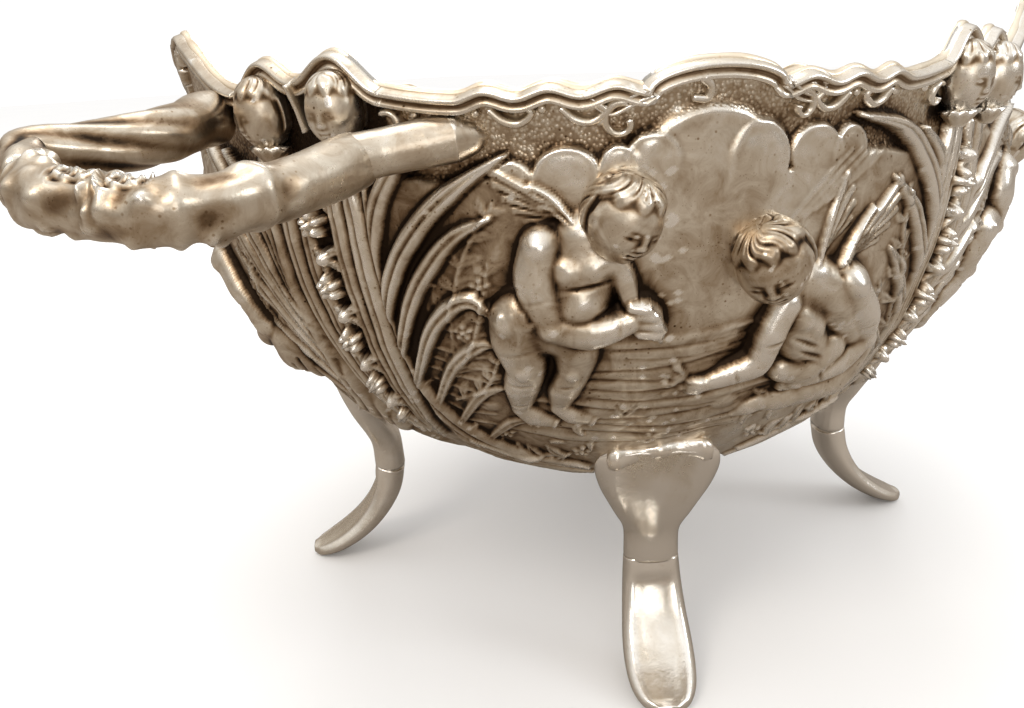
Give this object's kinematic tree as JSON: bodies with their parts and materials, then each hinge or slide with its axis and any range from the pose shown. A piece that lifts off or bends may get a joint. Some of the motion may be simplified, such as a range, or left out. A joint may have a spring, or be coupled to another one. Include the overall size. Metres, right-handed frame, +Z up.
{
  "type": "sauce boat",
  "caption": "Small four-lobed silver sauce boat in rococo style: chased bowl with scroll border, cherub heads, branch handle and splayed legs.",
  "frame": {"origin": "on the table, under the middle of the whole part with its handle", "axes": "+Z up; -X towards the handle; the front panel faces -X -Y"},
  "size_m": [0.1755, 0.1286, 0.0946],
  "materials": {
    "silver_chased": "chased silver with brown tarnish in the recesses",
    "silver_border": "cast silver, worn bright on the edges",
    "silver_heads": "cast silver, tarnished and pitted",
    "silver_legs": "cast silver, polished by handling",
    "silver_handle": "cast silver, chased, worn bright on the bends",
    "gilt": "thin worn gilding on silver"
  },
  "bodies": {
    "root": {"bowl_shell": "silver_chased", "scroll_front": "silver_border", "scroll_right": "silver_border", "scroll_back": "silver_border", "scroll_left": "silver_border", "wave_front_left": "silver_border", "wave_front_right": "silver_border", "wave_right_front": "silver_border", "wave_right_back": "silver_border", "wave_back_right": "silver_border", "wave_back_left": "silver_border", "wave_left_back": "silver_border", "wave_left_front": "silver_border", "arch_front_left": "silver_border", "arch_front_right": "silver_border", "arch_back_right": "silver_border", "arch_back_left": "silver_border", "head_front_left_1": "silver_heads", "head_front_left_2": "silver_heads", "head_front_right_1": "silver_heads", "head_front_right_2": "silver_heads", "head_back_right_1": "silver_heads", "head_back_right_2": "silver_heads", "head_back_left_1": "silver_heads", "head_back_left_2": "silver_heads", "knee_front": "silver_legs", "knee_right": "silver_legs", "knee_back": "silver_legs", "knee_left": "silver_legs", "foot_front": "silver_legs", "foot_right": "silver_legs", "foot_back": "silver_legs", "foot_left": "silver_legs", "handle_twig_limb": "silver_handle", "handle_reeded_limb": "silver_handle", "handle_bracket": "silver_handle"}
  },
  "joints": []
}
